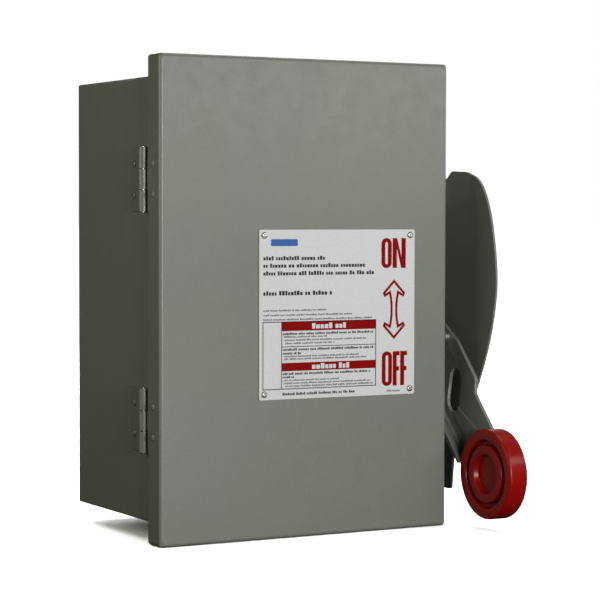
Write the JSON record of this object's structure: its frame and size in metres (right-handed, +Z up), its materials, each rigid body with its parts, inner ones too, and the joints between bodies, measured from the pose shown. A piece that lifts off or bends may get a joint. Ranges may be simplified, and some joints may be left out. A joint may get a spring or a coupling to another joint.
{
  "type": "ac disconnect box",
  "caption": "Wall-mounted steel AC disconnect: hinged cover over a three-pole rotary blade switch, worked by a side lever with a red disc grip and guard plate.",
  "frame": {"origin": "middle of the case's flat back face, where it lies against the wall", "axes": "+X towards the lever's side, +Y into the wall, +Z up; the cover faces -Y"},
  "size_m": [0.3092, 0.2521, 0.3874],
  "materials": {
    "case_paint": "satin grey-green powder coat with light orange peel",
    "hinge_paint": "satin grey paint over steel leaves",
    "lever_paint": "satin grey-green paint on bent steel",
    "red_plastic": "dark red moulded plastic, semi-gloss",
    "nameplate": "light grey printed sheet, satin",
    "zinc": "bright zinc plate",
    "steel": "plain machined steel",
    "moulded_base": "black moulded thermoset",
    "rotor_plastic": "brown moulded thermoset",
    "copper": "tarnished plated copper",
    "lug_aluminium": "tin-plated aluminium",
    "clear_shield": "clear polycarbonate"
  },
  "bodies": {
    "case": {"case": "case_paint", "upper_hinge_case_leaf": "hinge_paint", "lower_hinge_case_leaf": "hinge_paint", "upper_hinge_pin": "steel", "lower_hinge_pin": "steel", "shaft_bush": "zinc", "guard_plate": "lever_paint", "off_stop_post": "zinc", "on_stop_post": "zinc", "mechanism_bracket": "zinc", "pawl_pin": "steel", "torsion_spring": "steel", "door_catch_clip": "steel", "switch_base": "moulded_base", "rotor_bearing_left": "moulded_base", "rotor_bearing_right": "moulded_base", "line_jaw_left": "copper", "line_jaw_centre": "copper", "line_jaw_right": "copper", "line_lug_left": "lug_aluminium", "line_lug_centre": "lug_aluminium", "line_lug_right": "lug_aluminium", "load_jaw_left": "copper", "load_jaw_centre": "copper", "load_jaw_right": "copper", "load_lug_left": "lug_aluminium", "load_lug_centre": "lug_aluminium", "load_lug_right": "lug_aluminium", "line_shield": "clear_shield", "shield_screw_left": "zinc", "shield_screw_right": "zinc", "ground_bar": "lug_aluminium"},
    "door": {"door": "case_paint", "nameplate": "nameplate", "nameplate_rivet_bottom_left": "zinc", "nameplate_rivet_bottom_right": "zinc", "nameplate_rivet_top_left": "zinc", "nameplate_rivet_top_right": "zinc", "upper_hinge_door_leaf": "hinge_paint", "lower_hinge_door_leaf": "hinge_paint", "door_catch": "zinc", "interlock_keeper": "zinc"},
    "handle": {"handle_lever": "lever_paint", "lever_stud": "zinc", "handle_grip": "red_plastic", "grip_screw": "zinc", "handle_shaft": "steel", "shaft_collar": "steel", "shaft_nut": "zinc", "operating_crank": "zinc", "operating_crank_pin": "steel"},
    "drive_link": {"drive_link": "zinc"},
    "rotor": {"rotor_bar": "rotor_plastic", "blade_left": "copper", "blade_centre": "copper", "blade_right": "copper", "rotor_crank": "zinc", "rotor_crank_pin": "steel"},
    "interlock_pawl": {"interlock_pawl": "zinc"}
  },
  "joints": [
    {"name": "door_hinge", "type": "hinge", "parent": "case", "child": "door", "pos_m": [-0.1329, -0.1399, 0], "axis": [0, 0, -1], "range_deg": [0, 165]},
    {"name": "handle_turn", "type": "hinge", "parent": "case", "child": "handle", "pos_m": [0.1405, -0.0744, -0.0127], "axis": [-1, 0, 0], "range_deg": [0, 94]},
    {"name": "link_turn", "type": "hinge", "parent": "handle", "child": "drive_link", "pos_m": [0.1055, -0.09109, -0.01944], "axis": [-1, 0, 0], "range_deg": [-94, 0]},
    {"name": "rotor_turn", "type": "hinge", "parent": "case", "child": "rotor", "pos_m": [0, -0.062, 0.014], "axis": [-1, 0, 0], "range_deg": [0, 94]},
    {"name": "pawl_turn", "type": "hinge", "parent": "case", "child": "interlock_pawl", "pos_m": [0.1095, -0.105, 0.012], "axis": [-1, 0, 0], "range_deg": [0, 35]}
  ],
  "couplings": [
    {"joint": "link_turn", "follows": "handle_turn", "ratio": -1},
    {"joint": "rotor_turn", "follows": "handle_turn", "ratio": 1},
    {"joint": "pawl_turn", "follows": "handle_turn", "ratio": 0.37234}
  ]
}
